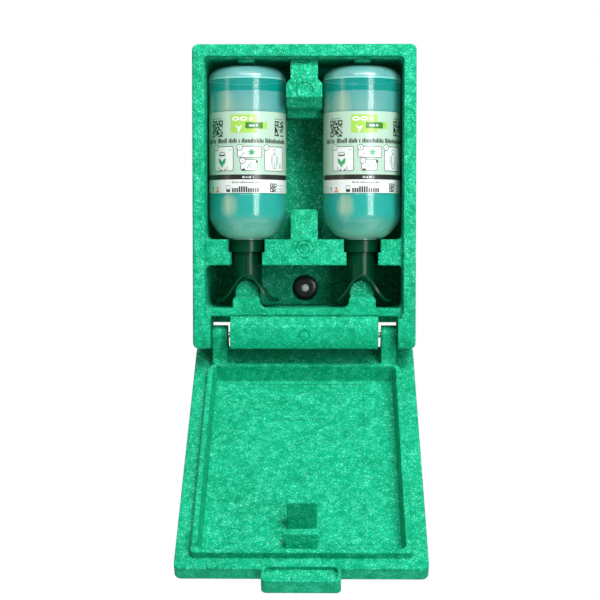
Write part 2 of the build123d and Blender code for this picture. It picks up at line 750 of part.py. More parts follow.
for side, side_name in sides:
    stand_x = side * bottle_x
    section_plane = Plane(origin=(stand_x, bottle_y, 0), x_dir=(1, 0, 0), z_dir=(0, -1, 0))
    stand_axis = Axis((stand_x, bottle_y, 0), (0, 0, 1))

    with BuildPart() as bottle:
        with BuildSketch(section_plane):
            add(bottle_outline(0))
        revolve(axis=stand_axis)
        with BuildSketch(Plane.XY.offset(up(bottle_top))):
            with Locations((stand_x, bottle_y)):
                Rectangle(groove_wide, 3 * bottle_r)
        extrude(amount=-groove_deep, mode=Mode.SUBTRACT)
        with BuildSketch(section_plane):
            add(bottle_outline(bottle_wall))
        revolve(axis=stand_axis, mode=Mode.SUBTRACT)
        with BuildSketch(Plane.XY.offset(up(bottle_top - bottle_wall / 2))):
            with Locations((stand_x, bottle_y)):
                Rectangle(groove_wide + 2 * bottle_wall, 2 * (base_r - base_round))
        extrude(amount=-groove_deep - bottle_wall / 2)
        with BuildSketch(Plane.XY.offset(up(bottle_top))):
            with Locations((stand_x, bottle_y)):
                Rectangle(groove_wide, 3 * bottle_r)
        extrude(amount=-groove_deep, mode=Mode.SUBTRACT)
    finish(bottle, f"bottle_{side_name}", frosted)

    # the solution stands a little off the bottle's inner wall, and ends over the plug
    with BuildPart() as saline:
        with BuildSketch(section_plane):
            add(bottle_outline(bottle_wall + liquid_gap))
        revolve(axis=stand_axis)
        split(bisect_by=Plane.XY.offset(up(liquid_high)), keep=Keep.BOTTOM)
        split(bisect_by=Plane.XY.offset(up(neck_mouth + plug_long) + liquid_gap), keep=Keep.TOP)
    finish(saline, f"saline_{side_name}", (0.7, 0.95, 0.9))

    with BuildPart() as label:
        with BuildSketch(Plane.XY.offset(up(label_low))):
            with Locations((stand_x, bottle_y)):
                Circle(label_r + label_thick)
                Circle(label_r, mode=Mode.SUBTRACT)
            bare = 2 * bottle_r * math.tan(math.radians(label_gap / 2))
            with BuildLine():
                Polyline(
                    (stand_x, bottle_y),
                    (stand_x + bare, bottle_y + 2 * bottle_r),
                    (stand_x - bare, bottle_y + 2 * bottle_r),
                    close=True,
                )
            make_face(mode=Mode.SUBTRACT)
        extrude(amount=label_high - label_low)
    finish(label, f"label_{side_name}", (0.95, 0.97, 0.95))

    # plug in the bottle's mouth, with a jet for each eye
    with BuildPart() as plug:
        with BuildSketch(Plane.XY.offset(up(neck_mouth))):
            with Locations((stand_x, bottle_y)):
                Circle(neck_r - neck_wall - plug_fit)
            with Locations((stand_x - jet_apart / 2, bottle_y), (stand_x + jet_apart / 2, bottle_y)):
                Circle(jet_r, mode=Mode.SUBTRACT)
        extrude(amount=plug_long)
    finish(plug, f"nozzle_{side_name}", (0.9, 0.9, 0.9))

    with BuildPart() as seal:
        with BuildSketch(Plane.XY.offset(up(bore_floor))):
            with Locations((stand_x, bottle_y)):
                Circle(neck_r)
                Circle(neck_r - seal_wide, mode=Mode.SUBTRACT)
        extrude(amount=seal_thick)
    finish(seal, f"seal_ring_{side_name}", (0.1, 0.1, 0.1))

    # the eyecup's wings: a wave-shaped sheet with rounded ends
    with BuildPart() as wings:
        with BuildSketch(section_plane.offset(wing_deep / 2)):
            add(wing_band(wing_thick))
        extrude(amount=-wing_deep)
        with BuildSketch(Plane.XY.offset(up(0))):
            with Locations((stand_x, bottle_y)):
                SlotOverall(2 * wing_half, wing_deep)
        extrude(amount=case_high, mode=Mode.INTERSECT)

    # a thicker rim all round them
    with BuildPart() as rim:
        with BuildSketch(section_plane.offset(wing_deep / 2)):
            add(wing_band(rim_thick))
        extrude(amount=-wing_deep)
        with BuildSketch(Plane.XY.offset(up(0))):
            with Locations((stand_x, bottle_y)):
                SlotOverall(2 * wing_half, wing_deep)
                SlotOverall(2 * (wing_half - rim_wide), wing_deep - 2 * rim_wide, mode=Mode.SUBTRACT)
        extrude(amount=case_high, mode=Mode.INTERSECT)

    with BuildPart() as eyecup:
        add(wings.part)
        add(rim.part)
        # neck, with a rib down its front, and the collar that the bottle's neck turns in
        crest = wing_low + wing_rise - wing_thick
        with BuildSketch(Plane.XY.offset(up(crest - 10))):
            with Locations((stand_x, bottle_y)):
                Circle(cup_neck_r)
        extrude(amount=collar_low + 1 - crest + 10)
        with BuildSketch(Plane.XY.offset(up(crest - 10))):
            with Locations((stand_x, bottle_y - cup_neck_r)):
                Rectangle(rib_wide, 2 * rib_out)
        extrude(amount=collar_low - rib_drop - crest + 10)
        # below, the neck ends on the wings
        with BuildSketch(section_plane.offset(wing_deep)):
            with BuildLine():
                under = [
                    (
                        wing_reach * i / 10,
                        up(wing_low - wing_thick / 2)
                        + wing_rise * (1 + math.cos(math.pi * i / 10)) / 2,
                    )
                    for i in range(-8, 9)
                ]
                Spline(*under)
                Polyline(under[-1], (under[-1][0], up(0)), (under[0][0], up(0)), under[0])
            make_face()
        extrude(amount=-2 * wing_deep, mode=Mode.SUBTRACT)
        add(wings.part)
        add(rim.part)
        with BuildSketch(Plane.XY.offset(up(collar_low))):
            with Locations((stand_x, bottle_y)):
                Circle(collar_r)
        extrude(amount=collar_high)
        chamfer(edges().group_by(Axis.Z)[-1], 0.8)
        with BuildSketch(Plane.XY.offset(up(bore_floor))):
            with Locations((stand_x, bottle_y)):
                Circle(neck_r + thread_fit)
        extrude(amount=collar_top - bore_floor, mode=Mode.SUBTRACT)
        # bore down the neck, then an outlet for each eye
        with BuildSketch(Plane.XY.offset(up(bore_floor))):
            with Locations((stand_x, bottle_y)):
                Circle(cup_neck_r - cup_neck_wall)
        extrude(amount=crest + 4 - bore_floor, mode=Mode.SUBTRACT)
        with BuildSketch(Plane.XY.offset(up(crest + 4))):
            with Locations((stand_x - jet_apart / 2, bottle_y), (stand_x + jet_apart / 2, bottle_y)):
                Circle(jet_r)
        extrude(amount=-wing_rise, mode=Mode.SUBTRACT)
    finish(eyecup, f"eyecup_{side_name}", cup_green)
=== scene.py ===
# Wall-mounted eyewash station: foam case and lid, two bottles of saline, twin eyecups.
import math
import random

import bmesh
import bpy
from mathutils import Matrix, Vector


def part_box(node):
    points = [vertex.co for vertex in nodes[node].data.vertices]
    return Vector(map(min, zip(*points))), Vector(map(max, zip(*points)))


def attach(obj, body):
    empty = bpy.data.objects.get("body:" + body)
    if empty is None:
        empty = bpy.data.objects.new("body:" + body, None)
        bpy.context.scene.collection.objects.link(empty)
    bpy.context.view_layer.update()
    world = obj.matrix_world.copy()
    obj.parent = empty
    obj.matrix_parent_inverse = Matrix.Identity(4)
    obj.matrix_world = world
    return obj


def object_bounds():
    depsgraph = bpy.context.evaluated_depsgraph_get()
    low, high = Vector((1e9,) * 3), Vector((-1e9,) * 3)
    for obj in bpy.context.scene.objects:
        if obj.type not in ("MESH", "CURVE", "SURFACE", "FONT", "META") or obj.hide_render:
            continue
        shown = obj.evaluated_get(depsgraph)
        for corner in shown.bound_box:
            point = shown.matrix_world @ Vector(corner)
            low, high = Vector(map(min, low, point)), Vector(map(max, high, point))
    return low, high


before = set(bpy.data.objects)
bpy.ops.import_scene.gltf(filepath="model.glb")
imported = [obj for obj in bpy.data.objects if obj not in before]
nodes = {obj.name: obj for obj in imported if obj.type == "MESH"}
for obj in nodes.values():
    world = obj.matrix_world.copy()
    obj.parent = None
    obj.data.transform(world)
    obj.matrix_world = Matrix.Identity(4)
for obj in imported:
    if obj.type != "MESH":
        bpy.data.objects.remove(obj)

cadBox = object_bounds()
scene = bpy.context.scene
sides = ("left", "right")
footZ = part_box("case")[0].z  # foot of the case


class Value:
    # one output of a node; sums and products of values add their own Math nodes
    def __init__(self, tree, socket):
        self.tree = tree
        self.socket = socket

    def math(self, operation, first, second):
        return self.tree.node("ShaderNodeMath", {"operation": operation}, {0: first, 1: second})

    def __add__(self, other):
        return self.math("ADD", self, other)

    def __radd__(self, other):
        return self.math("ADD", other, self)

    def __sub__(self, other):
        return self.math("SUBTRACT", self, other)

    def __rsub__(self, other):
        return self.math("SUBTRACT", other, self)

    def __mul__(self, other):
        return self.math("MULTIPLY", self, other)

    def __rmul__(self, other):
        return self.math("MULTIPLY", other, self)

    def __truediv__(self, other):
        return self.math("DIVIDE", self, other)

    def __rtruediv__(self, other):
        return self.math("DIVIDE", other, self)

    def __mod__(self, other):
        return self.math("FLOORED_MODULO", self, other)

    def __pow__(self, other):
        return self.math("POWER", self, other)

    def swing(self, amount):
        # a pattern from 0 to 1, made to swing either side of nothing
        return (self - 0.5) * amount

    def above(self, edge, soft):
        # 0 under the edge, 1 over it
        settings = {"interpolation_type": "SMOOTHSTEP"}
        sockets = {"Value": self, "From Min": edge - soft, "From Max": edge + soft}
        return self.tree.node("ShaderNodeMapRange", settings, sockets)

    def clamped(self):
        return self.tree.node("ShaderNodeClamp", {}, {"Value": self})


class NodeTree:
    def __init__(self, tree):
        self.tree = tree
        self.tree.nodes.clear()

    def node(self, kind, settings, sockets, output=0):
        made = self.tree.nodes.new(kind)
        for key, value in settings.items():
            setattr(made, key, value)
        for key, value in sockets.items():
            if isinstance(value, Value):
                self.tree.links.new(value.socket, made.inputs[key])
            else:
                made.inputs[key].default_value = value
        return Value(self, made.outputs[output]) if made.outputs else None


class Paint(NodeTree):
    # a material being built, with one shader at its end
    def __init__(self, name):
        self.material = bpy.data.materials.new(name)
        self.material.use_nodes = True
        super().__init__(self.material.node_tree)
        self.place = self.node("ShaderNodeTexCoord", {}, {}, "Object")

    def axis(self, name):
        return self.node("ShaderNodeSeparateXYZ", {}, {0: self.place}, name)

    def upward(self):
        # how far a face of the piece itself looks up
        facing = self.node("ShaderNodeTexCoord", {}, {}, "Normal")
        return self.node("ShaderNodeSeparateXYZ", {}, {0: facing}, "Z").clamped()

    def rim(self, blend):
        # 0 where the surface faces the eye, 1 where it turns away
        return self.node("ShaderNodeLayerWeight", {}, {"Blend": blend}, "Facing")

    def noise(self, size, detail, rough, output=0):
        # size is the width of its patches in metres
        sockets = {"Vector": self.place, "Scale": 1 / size, "Detail": detail, "Roughness": rough}
        return self.node("ShaderNodeTexNoise", {}, sockets, output)

    def cells(self, size, feature, output, vector):
        sockets = {"Vector": vector, "Scale": 1 / size}
        return self.node("ShaderNodeTexVoronoi", {"feature": feature}, sockets, output)

    def mix(self, amount, first, second):
        settings = {"data_type": "RGBA", "blend_type": "MIX"}
        return self.node("ShaderNodeMix", settings, {0: amount, 6: first, 7: second}, 2)

    def shift(self, vector, offset, strength):
        # moves texture coordinates about by a colour
        settings = {"operation": "MULTIPLY_ADD"}
        three = (strength, strength, strength)
        return self.node("ShaderNodeVectorMath", settings, {0: offset, 1: three, 2: vector})

    def rounded(self, radius):
        # the normal of a surface whose edges are rounded off
        return self.node("ShaderNodeBevel", {"samples": 4}, {"Radius": radius})

    def bump(self, height, distance, strength, normal=None):
        sockets = {"Height": height, "Distance": distance, "Strength": strength}
        if normal:
            sockets["Normal"] = normal
        return self.node("ShaderNodeBump", {}, sockets)

    def finish(self, sockets):
        shader = self.node("ShaderNodeBsdfPrincipled", {}, sockets)
        self.node("ShaderNodeOutputMaterial", {}, {"Surface": shader})
        return self.material


def colour(red, green, blue):
    # a colour as a paint chart gives it, 0 to 255, made linear
    linear = []
    for part in (red, green, blue):
        part = part / 255
        linear.append(part / 12.92 if part < 0.04045 else ((part + 0.055) / 1.055) ** 2.4)
    return (*linear, 1.0)


foam = {
    "green": colour(0, 180, 134),
    "deep": colour(0, 130, 88),
    # pale specks painted into the colour: painted glints of light on the beads
    "paintedGlint": colour(126, 240, 212),
    "bead": 0.0036,  # width of one bead
    "bendSize": 0.005,  # the seams between beads bend about over this
    "bend": 0.0024,
    "seam": 0.05,  # half width of a seam, as a share of a bead
    "groove": 0.10,
    "seamTint": 0.25,
    "speck": 0.0013,  # width of the specks: bumps on the beads, and the painted glints on them
    "glintLevel": 0.57,
    "glintSharp": 7.0,
    "cloud": 0.010,  # width of a patch with more specks
    "broad": 0.05,  # width of a lighter or darker area
    "tone": 0.55,  # between deep and green
    "beadTone": 0.45,  # how far beads, clouds and areas swing it
    "cloudTone": 1.0,
    "broadTone": 0.7,
    "beadGlints": 0.5,  # how far beads and clouds swing the painted glints
    "cloudGlints": 1.8,
    "glintStrength": 0.78,  # strength of the painted glints
    "glintLeast": 0.40,  # the least share of the painted glints, in the painted shade low down
    "glintDimHigh": 0.045,  # painted shade: the painted glints are dimmer under this height over the foot, save where a face looks up, as if the light falls from above
    "glintDimBlend": 0.03,
    # how much the painted glints gain high up and where a face looks up, as if lit from above
    "litGlints": 0.55,
    "rough": 0.5,
    "roughSpecks": 0.2,
    "shine": 0.08,
    "seamRelief": 0.5,  # beside the specks'
    "relief": 0.0006,
    "bump": 0.9,
    "edge": 0.0028,  # rounding of the moulded edges
}


def makeFoam(name, look):
    paint = Paint(name)
    wander = paint.noise(look["bendSize"], detail=3.0, rough=0.6, output="Color")
    bent = paint.shift(paint.place, wander, look["bend"])
    seam = paint.cells(look["bead"], "DISTANCE_TO_EDGE", 0, bent)
    tint = paint.cells(look["bead"], "F1", "Color", bent)
    bead = paint.node("ShaderNodeSeparateColor", {}, {0: tint}, 0)
    speck = paint.noise(look["speck"], detail=1.5, rough=0.55)
    cloud = paint.noise(look["cloud"], detail=3.0, rough=0.6)
    broad = paint.noise(look["broad"], detail=2.0, rough=0.5)
    tone = look["tone"] + bead.swing(look["beadTone"]) + cloud.swing(look["cloudTone"])
    tone = (tone + broad.swing(look["broadTone"])).clamped()
    base = paint.mix(tone, look["deep"], look["green"])
    gap = 1 - seam.above(look["seam"], look["seam"])
    base = paint.mix(gap * look["seamTint"], base, look["deep"])
    peak = (speck - look["glintLevel"]) * look["glintSharp"]
    glintMask = (peak + cloud.swing(look["cloudGlints"]) + bead.swing(look["beadGlints"])).clamped()
    high = paint.axis("Z").above(footZ + look["glintDimHigh"], look["glintDimBlend"])
    litGlints = (look["glintLeast"] + high * look["litGlints"] + paint.upward() * look["litGlints"]).clamped()
    # painted glints: pale specks painted into the colour, more of them high up and on faces that look up, as
    # if lit from above
    base = paint.mix(glintMask * litGlints * look["glintStrength"], base, look["paintedGlint"])
    height = seam.above(look["groove"], look["groove"]) * look["seamRelief"] + speck
    return paint.finish({
        "Base Color": base,
        "Roughness": look["rough"] + speck * look["roughSpecks"],
        "Specular IOR Level": look["shine"],
        "Normal": paint.bump(height, look["relief"], look["bump"], paint.rounded(look["edge"])),
    })


bottlePlastic = {
    "body": colour(0, 178, 166),
    # pale colour: a painted sheen where the bottle turns away from the eye, and the colour of the raised
    # seam
    "rim": colour(140, 216, 206),
    "cap": colour(118, 176, 174),
    "capShade": colour(72, 150, 146),
    "shoulder": colour(178, 236, 218),
    "alpha": 0.28,
    "capAlpha": 0.80,
    "capHigh": 0.015,  # from the seam up to the base
    "seamUnder": 0.0010,  # the raised seam's reach under and over that line
    "seamOver": 0.0006,
    "paleHigh": 0.012,  # the shoulder is pale up to about this over the eyecup
    "paleBlend": 0.024,
    "paleCloud": 0.3,
    "capSoft": 0.0005,  # softness of the edge where the base's colour starts
    "seamSoft": 0.0004,  # and of the seam's edges
    "cloud": 0.022,
    "fine": 0.0016,
    "rimBlend": 0.30,
    "rimSharp": 3.0,
    "rimSheen": 0.8,
    "rimAlpha": 0.45,
    "seamTint": 0.8,
    "seamAlpha": 0.4,
    "paleTint": 0.9,
    "paleAlpha": 0.4,
    "rough": 0.17,
    "capRough": 0.12,
    "fineRough": 0.04,
    "glow": 0.08,  # light that the wall scatters
    "gloss": 0.09,
    "relief": 0.0004,
    "bump": 0.2,
}


def makeBottle(name, look):
    paint = Paint(name)
    high = paint.axis("Z")
    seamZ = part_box("bottle_left")[1].z - look["capHigh"]
    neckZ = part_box("eyecup_left")[1].z
    cap = high.above(seamZ, look["capSoft"])
    seamLow = high.above(seamZ - look["seamUnder"], look["seamSoft"])
    seam = seamLow - high.above(seamZ + look["seamOver"], look["seamSoft"])
    cloud = paint.noise(look["cloud"], detail=2.0, rough=0.5)
    fine = paint.noise(look["fine"], detail=2.0, rough=0.5)
    rim = (paint.rim(look["rimBlend"]) ** look["rimSharp"]).clamped()
    pale = 1 - high.above(neckZ + look["paleHigh"], look["paleBlend"])
    pale = (pale + cloud.swing(look["paleCloud"])).clamped()
    # painted sheen: pale colour painted where the bottle turns away from the eye
    base = paint.mix(rim * look["rimSheen"], look["body"], look["rim"])
    base = paint.mix(cap, base, paint.mix(cloud, look["capShade"], look["cap"]))
    base = paint.mix(seam * look["seamTint"], base, look["rim"])
    base = paint.mix(pale * look["paleTint"], base, look["shoulder"])
    alpha = look["alpha"] + cap * (look["capAlpha"] - look["alpha"])
    alpha = alpha + rim * look["rimAlpha"] + seam * look["seamAlpha"] + pale * look["paleAlpha"]
    return paint.finish({
        "Base Color": base,
        "Roughness": look["rough"] + cap * look["capRough"] + fine * look["fineRough"],
        "Alpha": alpha.clamped(),
        "Emission Color": base,
        "Emission Strength": look["glow"],
        "IOR": 1.5,
        "Coat Weight": 1.0,
        "Coat Roughness": look["gloss"],
        "Normal": paint.bump(cloud, look["relief"], look["bump"]),
    })


solution = {
    "upper": colour(156, 158, 174),  # over the label
    "lower": colour(70, 160, 150),
    "side": colour(70, 176, 166),
    "warmReflection": colour(255, 216, 176),
    "reflectionPatches": (
        # painted reflections of a warm lamp, each: across from the bottle's axis, up from the foot, half
        # width, half height, strength
        (-0.0230, 0.270, 0.0130, 0.026, 0.80),
        (-0.0400, 0.272, 0.0050, 0.016, 0.95),
        (-0.0190, 0.160, 0.0110, 0.017, 0.75),
        (0.0040, 0.268, 0.0240, 0.018, 0.22),
        (0.0100, 0.140, 0.0220, 0.012, 0.25),
    ),
    "spacing": 0.1308,  # between the two bottles' axes
    "changeHigh": 0.22,  # upper and lower meet at this height, behind the label
    "changeSoft": 0.01,
    "rimBlend": 0.5,
    "drift": 0.03,
    "patchDrift": 0.8,
    "sideFrom": 0.15,  # the side colour starts a little way in from the middle
    "sideTint": 1.1,
    "rough": 0.12,
    "roughDrift": 0.1,
    "alpha": 0.90,
    "sideAlpha": 0.15,
    "glow": 0.05,
}


def makeSolution(name, look):
    paint = Paint(name)
    high = paint.axis("Z")
    across = (paint.axis("X") + look["spacing"]) % look["spacing"] - look["spacing"] / 2
    edge = paint.rim(look["rimBlend"])
    drift = paint.noise(look["drift"], detail=3.0, rough=0.5)
    upper = high.above(footZ + look["changeHigh"], look["changeSoft"])
    base = paint.mix(upper, look["lower"], look["upper"])
    base = paint.mix((edge * look["sideTint"] - look["sideFrom"]).clamped(), base, look["side"])
    # painted reflections: warm patches of lamp light painted into the colour at fixed places
    for middleX, up, wide, tall, strong in look["reflectionPatches"]:
        spanX = (across - middleX) / wide
        spanZ = (high - (footZ + up)) / tall
        near = (1 - (spanX * spanX + spanZ * spanZ) + drift.swing(look["patchDrift"])).clamped()
        base = paint.mix(near * strong, base, look["warmReflection"])
    return paint.finish({
        "Base Color": base,
        "Roughness": look["rough"] + drift * look["roughDrift"],
        "Alpha": (look["alpha"] + edge * look["sideAlpha"]).clamped(),
        "Emission Color": base,
        "Emission Strength": look["glow"],
        "IOR": 1.33,
    })


films = {
    # colour, and colour where it is mottled
    "labelFilm": (colour(168, 197, 180), colour(161, 192, 173)),
    "signFilm": (colour(0, 128, 72), colour(0, 120, 66)),
}
filmFace = {
    "fibre": 0.0012,
    "cloud": 0.012,
    "rough": 0.34,
    "roughFibre": 0.1,
    "coat": 0.3,
    "gloss": 0.14,
    "relief": 0.00002,
    "bump": 0.4,
}


def makeFilm(name, paper, shade, look):
    # printed film with a satin face
    paint = Paint(name)
    fibre = paint.noise(look["fibre"], detail=3.0, rough=0.6)
    cloud = paint.noise(look["cloud"], detail=2.0, rough=0.5)
    return paint.finish({
        "Base Color": paint.mix(cloud, paper, shade),
        "Roughness": look["rough"] + fibre * look["roughFibre"],
        "Coat Weight": look["coat"],
        "Coat Roughness": look["gloss"],
        "Normal": paint.bump(fibre, look["relief"], look["bump"]),
    })


satins = {
    # colour, colour where it is mottled, roughness, width and depth of the grain, then what else differs
    "eyecupPlastic": (colour(0, 56, 34), colour(0, 64, 40), 0.24, 0.0015, 0.00004,
                      {"soft": 0.0012, "shine": 0.20}),
    "nozzlePlastic": (colour(226, 230, 230), colour(214, 220, 220), 0.4, 0.002, 0.0001, {}),
    "sealRubber": (colour(24, 24, 24), colour(34, 34, 34), 0.6, 0.002, 0.0001, {}),
    "washerRubber": (colour(6, 22, 20), colour(12, 30, 26), 0.30, 0.0012, 0.00008, {"soft": 0.0010}),
    "zincScrew": (colour(240, 242, 240), colour(222, 226, 224), 0.30, 0.001, 0.00006, {}),
    "brightPin": (colour(206, 206, 204), colour(186, 186, 186), 0.25, 0.001, 0.00003, {"metal": 1.0}),
    "paleFloor": (colour(250, 250, 250), colour(246, 246, 246), 0.7, 0.05, 0.0001, {"glow": 0.45}),
}
satinFace = {
    "mottle": 8,  # grains across one mottled patch
    "roughSwing": 0.12,
    "gloss": 0.12,
    "bump": 0.5,
    "metal": 0.0,
    "coat": 0.0,
    "shine": 0.5,
    "glow": 0.0,
    "soft": None,  # rounding of edges, where there is any
}


def makeSatin(name, base, worn, rough, grain, depth, more):
    # moulded plastic, rubber, ink or metal: faint mottling, fine texture
    paint = Paint(name)
    look = {**satinFace, **more}
    mottle = paint.noise(grain * look["mottle"], detail=3.0, rough=0.55)
    fine = paint.noise(grain, detail=3.0, rough=0.6)
    normal = paint.rounded(look["soft"]) if look["soft"] else None
    return paint.finish({
        "Base Color": paint.mix(mottle, base, worn),
        "Roughness": rough - look["roughSwing"] / 2 + fine * look["roughSwing"],
        "Metallic": look["metal"],
        "Coat Weight": look["coat"],
        "Coat Roughness": look["gloss"],
        "Specular IOR Level": look["shine"],
        "Emission Color": base,
        "Emission Strength": look["glow"],
        "Normal": paint.bump(fine, depth, look["bump"], normal),
    })


inkFace = {
    "fade": 0.9,  # where ink is mottled, it has this share of its colour
    "haze": 0.01,  # and this much light added to it
    "satin": (0.36, 0.0008, 0.00001, {"coat": 0.3}),  # as the last four of a satin finish
}
inks = {
    "black": colour(24, 26, 24),
    "grey": colour(74, 82, 80),
    "white": colour(214, 222, 220),
    "lime": colour(150, 194, 78),
    "green": colour(40, 116, 30),
    "leaf": colour(30, 150, 90),
    "teal": colour(40, 150, 150),
    "orange": colour(214, 124, 62),
}
wear = {
    "case": "beadFoam",
    "lid": "beadFoam",
    "lid_sign": "signFilm",
    "screw_washer": "washerRubber",
    "hinge_pin_left": "brightPin",
    "hinge_pin_right": "brightPin",
    "wall_screw_lower": "zincScrew",
    "wall_screw_upper": "zincScrew",
}
pairWear = {
    "bottle_": "frostedBottle",
    "saline_": "salineSolution",
    "label_": "labelFilm",
    "eyecup_": "eyecupPlastic",
    "nozzle_": "nozzlePlastic",
    "seal_ring_": "sealRubber",
}

materials = {
    "beadFoam": makeFoam("beadFoam", foam),
    "frostedBottle": makeBottle("frostedBottle", bottlePlastic),
    "salineSolution": makeSolution("salineSolution", solution),
}
for name, look in films.items():
    materials[name] = makeFilm(name, *look, filmFace)
for name, look in satins.items():
    materials[name] = makeSatin(name, *look)
for ink, tone in inks.items():
    faded = (*(part * inkFace["fade"] + inkFace["haze"] for part in tone[:3]), 1.0)
    materials[ink] = makeSatin(ink + "Ink", tone, faded, *inkFace["satin"])

for start, finish in pairWear.items():
    for side in sides:
        wear[start + side] = finish
for name, finish in wear.items():
    mesh = nodes[name].data
    mesh.materials.clear()
    mesh.materials.append(materials[finish])
print("materials ready")


labelArt = {
    "lift": 0.00005,  # of the first ink over the film
    "layer": 0.00004,  # of each ink over the one under it
    "cut": 2.5,  # widest flat facet, in millimetres
    "drop": 1.1,  # how far the art is lowered on the film
    "turn": {"left": 2.4, "right": 6.0},  # how far each label is turned, in millimetres round the bottle
    "seed": 11,
}


def box2(left, low, right, high):
    return [(left, low), (right, low), (right, high), (left, high)]


def roundBox(left, low, right, high, radius, steps=4):
    corners = ((right - radius, low + radius, -90), (right - radius, high - radius, 0),
               (left + radius, high - radius, 90), (left + radius, low + radius, 180))
    outline = []
    for x, z, start in corners:
        for step in range(steps + 1):
            angle = math.radians(start + 90 * step / steps)
            outline.append((x + radius * math.cos(angle), z + radius * math.sin(angle)))
    return outline


def oval(x, z, wide, tall, steps=20):
    turns = [2 * math.pi * step / steps for step in range(steps)]
    return [(x + wide * math.cos(turn), z + tall * math.sin(turn)) for turn in turns]


def frameOf(outer, inner):
    # the band between two outlines with the same number of points
    count = len(outer)
    return [[outer[i], outer[(i + 1) % count], inner[(i + 1) % count], inner[i]] for i in range(count)]


def roundFrame(left, low, right, high, radius, line):
    inner = roundBox(left + line, low + line, right - line, high - line, max(radius - line, 0.2))
    return frameOf(roundBox(left, low, right, high, radius), inner)


def ringOf(x, z, radius, line):
    return frameOf(oval(x, z, radius, radius), oval(x, z, radius - line, radius - line))


def dotSquare(left, low, side, count, dice, block=4, odds=0.5):
    # a square of scattered dots with a framed block in three corners
    pitch = side / count
    last = count - block  # first row or column of the far blocks
    dots = []
    for column in range(count):
        for row in range(count):
            across, up = column >= last, row >= last
            near = column < block, row < block
            if (near[0] or across) and (near[1] or up) and not (across and near[1]):
                filled = column % last in (0, block - 1) or row % last in (0, block - 1)
            else:
                filled = dice.random() < odds
            if filled:
                x, z = left + column * pitch, low + row * pitch
                dots.append(box2(x, z, x + pitch, z + pitch))
    return dots


stroke = {
    "wide": 0.72,  # share of the pitch
    "short": 0.72,  # a short stroke's share of a tall one
    "tallOdds": 0.4,
}


def strokes(left, right, low, high, pitch, dice, gap=0.14):
    # a row of plain upright strokes in groups, which stands for a line of print
    short = low + (high - low) * stroke["short"]
    marks = []
    x = left
    while x + pitch < right:
        if dice.random() > gap:
            top = high if dice.random() < stroke["tallOdds"] else short
            marks.append(box2(x, low, x + pitch * stroke["wide"], top))
        x += pitch
    return marks


def star(x, z, outerR, innerR, points, tilt=0.3):
    outline = []
    for i in range(points * 2):
        radius = innerR if i % 2 else outerR
        angle = math.pi * i / points + tilt
        outline.append((x + radius * math.cos(angle), z + radius * math.sin(angle)))
    return [[(x, z), outline[i], outline[(i + 1) % len(outline)]] for i in range(len(outline))]


# each shape is an ink, a layer and its outlines; points are across from the label's middle
# and up from the case's foot, in millimetres
def labelBands(dice):
    return [
        ("white", 0, [box2(-66, 175.9, 66, 190.9)]),
        ("black", 1, [box2(-66, 190.9, 66, 196.5)]),
        ("lime", 0, [roundBox(-19.5, 242.8, 10.7, 263.1, 1.6)]),
        ("green", 2, [roundBox(-2.6, 247.6, 17.5, 254.5, 1.2)]),
        ("lime", 1, [roundBox(14.0, 247.2, 22.8, 254.9, 1.2)]),
        ("white", 1, [
            oval(-13.6, 258.4, 4.3, 2.5), oval(-4.6, 258.4, 4.3, 2.5),
            box2(1.6, 257.6, 6.2, 259.2), box2(3.1, 259.2, 4.7, 260.8), box2(3.1, 256.0, 4.7, 257.6),
            [(-10.9, 243.6), (-9.3, 243.6), (-9.3, 247.4), (-6.4, 250.2), (-7.6, 251.2), (-10.1, 248.7),
             (-12.6, 251.2), (-13.8, 250.2), (-10.9, 247.4)]]),
        ("lime", 2, [oval(-13.6, 258.4, 2.9, 0.9), oval(-4.6, 258.4, 2.9, 0.9)]),
        ("white", 3, strokes(1.5, 14.5, 249.8, 252.6, 1.3, dice, 0.1)),
        ("black", 0, dotSquare(-48.1, 238.8, 18.3, 13, dice) + dotSquare(33.6, 239.8, 17.0, 12, dice)),
        ("black", 0, strokes(-56, 56, 231.6, 236.9, 1.7, dice)),
        ("black", 0, strokes(-47, -31, 258.6, 259.6, 0.9, dice) + strokes(34, 50, 258.6, 259.6, 0.9, dice)),
        ("white", 2, strokes(-6, 8, 192.6, 194.8, 1.0, dice)),
        ("grey", 1, strokes(-18, 13.6, 187.0, 188.8, 0.9, dice)),
        ("black", 1, strokes(-17.9, 13.6, 176.6, 183.2, 2.6, dice, 0.0)),
        ("orange", 1, [box2(-41.2, 176.7, -35.3, 178.6), box2(-39.6, 179.2, -36.9, 182.7)]),
        ("teal", 1, [box2(-48.0, 180.5, -45.4, 182.8), box2(-46.6, 177.0, -45.6, 180.5)]),
        ("black", 1, [box2(-25.3, 177.0, -20.3, 179.7)]),
        ("grey", 1, roundFrame(-25.3, 179.7, -20.3, 184.6, 0.6, 0.5)),
        ("black", 1, dotSquare(26.7, 177.1, 9.6, 9, dice)),
        ("grey", 1, strokes(38, 50, 184.0, 184.8, 0.8, dice) + strokes(38, 50, 180.4, 181.2, 0.8, dice)
         + strokes(38, 50, 177.2, 178.0, 0.8, dice)),
    ]


labelPanels = (
    # left, low, right, high, then the middle of its round badge
    (-43.8, 200.3, -16.1, 228.0, -40.0, 226.6),
    (-11.7, 214.9, 16.3, 228.0, -8.7, 226.6),
    (-8.0, 200.3, 11.0, 213.5, -5.8, 211.9),
    (19.5, 200.3, 48.3, 228.0, 22.0, 226.6),
)
panelLine = {
    "corner": 2.2,
    "line": 0.75,
    "badge": 3.6,
    "badgeLine": 0.7,
    "markWide": 0.35,  # half sizes of the mark in a badge
    "markTall": 1.2,
}


